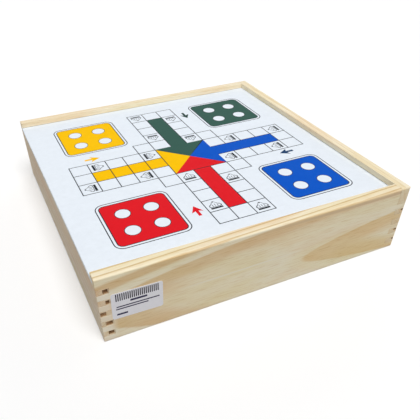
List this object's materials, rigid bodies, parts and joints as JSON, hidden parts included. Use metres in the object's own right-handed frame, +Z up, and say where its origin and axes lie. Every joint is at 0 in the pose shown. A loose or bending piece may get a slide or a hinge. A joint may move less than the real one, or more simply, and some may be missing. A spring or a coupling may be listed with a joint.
{
  "type": "game compendium box",
  "caption": "Square wooden games box with finger-jointed walls, a printed board as its sliding lid, crossed dividers and loose playing pieces inside.",
  "frame": {"origin": "on the surface that the box stands on, under the middle of the box", "axes": "+X to the right along the front wall, +Y towards the back wall, +Z up; the lid slides out towards -X"},
  "size_m": [0.3, 0.3062, 0.068],
  "materials": {
    "pine": "sanded, clear lacquer",
    "fibreboard": "smooth pressed",
    "divider_wood": "sanded",
    "lid_board": "white lacquered fibreboard",
    "board_print": "laminated print",
    "label_paper": "coated label paper",
    "light_draught": "turned, clear lacquer",
    "dark_draught": "turned, stained",
    "domino_white": "moulded",
    "die_white": "moulded",
    "pawn_yellow": "moulded",
    "pawn_green": "moulded",
    "pawn_red": "moulded",
    "pawn_blue": "moulded"
  },
  "bodies": {
    "box": {"back_wall": "pine", "bottom_panel": "fibreboard", "die_1": "die_white", "die_2": "die_white", "divider_cross": "divider_wood", "divider_long": "divider_wood", "domino_stack_1": "domino_white", "domino_stack_2": "domino_white", "domino_stack_3": "domino_white", "domino_stack_4": "domino_white", "draught_dark_01": "dark_draught", "draught_dark_02": "dark_draught", "draught_dark_03": "dark_draught", "draught_dark_04": "dark_draught", "draught_dark_05": "dark_draught", "draught_dark_06": "dark_draught", "draught_dark_07": "dark_draught", "draught_dark_08": "dark_draught", "draught_dark_09": "dark_draught", "draught_dark_10": "dark_draught", "draught_dark_11": "dark_draught", "draught_dark_12": "dark_draught", "draught_light_01": "light_draught", "draught_light_02": "light_draught", "draught_light_03": "light_draught", "draught_light_04": "light_draught", "draught_light_05": "light_draught", "draught_light_06": "light_draught", "draught_light_07": "light_draught", "draught_light_08": "light_draught", "draught_light_09": "light_draught", "draught_light_10": "light_draught", "draught_light_11": "light_draught", "draught_light_12": "light_draught", "front_wall": "pine", "left_wall": "pine", "paper_label": "label_paper", "pawn_blue_1": "pawn_blue", "pawn_blue_2": "pawn_blue", "pawn_blue_3": "pawn_blue", "pawn_blue_4": "pawn_blue", "pawn_green_1": "pawn_green", "pawn_green_2": "pawn_green", "pawn_green_3": "pawn_green", "pawn_green_4": "pawn_green", "pawn_red_1": "pawn_red", "pawn_red_2": "pawn_red", "pawn_red_3": "pawn_red", "pawn_red_4": "pawn_red", "pawn_yellow_1": "pawn_yellow", "pawn_yellow_2": "pawn_yellow", "pawn_yellow_3": "pawn_yellow", "pawn_yellow_4": "pawn_yellow", "right_wall": "pine"},
    "lid": {"lid_panel": "lid_board", "ludo_board_print": "board_print", "draughts_board_print": "board_print"}
  },
  "joints": [
    {"name": "lid_slide", "type": "slide", "parent": "box", "child": "lid", "axis": [-1, 0, 0], "range_m": [0, 0.3]}
  ]
}
